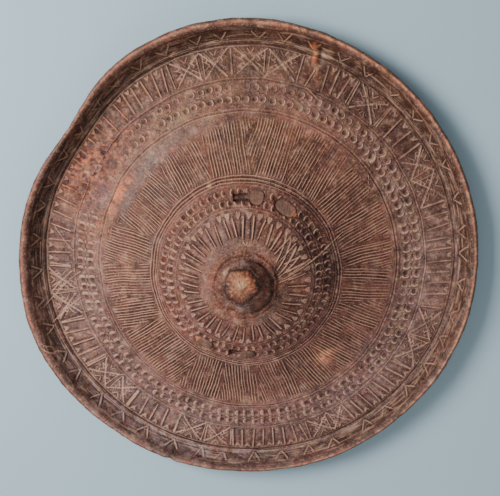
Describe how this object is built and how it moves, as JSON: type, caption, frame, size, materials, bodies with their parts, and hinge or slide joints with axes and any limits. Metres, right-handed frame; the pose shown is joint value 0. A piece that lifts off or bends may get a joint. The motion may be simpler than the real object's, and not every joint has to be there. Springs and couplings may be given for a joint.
{
  "type": "hide shield",
  "caption": "Round hide shield with a turned-up rim, carved rings around a domed boss and knob, and a strap grip laced to its back.",
  "frame": {"origin": "under the middle of the shield's outline, in the plane that it rests on", "axes": "+Z out of the shield's front, +Y towards the upper end of the grip as the shield is shown, +X to its right"},
  "size_m": [0.5148, 0.5102, 0.113],
  "materials": {
    "hide": "dark brown hide, worn and waxed",
    "grip_hide": "plain brown hide strap, matt",
    "thong_hide": "pale brown hide thong, worn"
  },
  "bodies": {
    "root": {"hide_body": "hide", "grip": "grip_hide", "thong_upper_left": "thong_hide", "thong_upper_right": "thong_hide", "thong_lower_left": "thong_hide", "thong_lower_right": "thong_hide"}
  },
  "joints": []
}
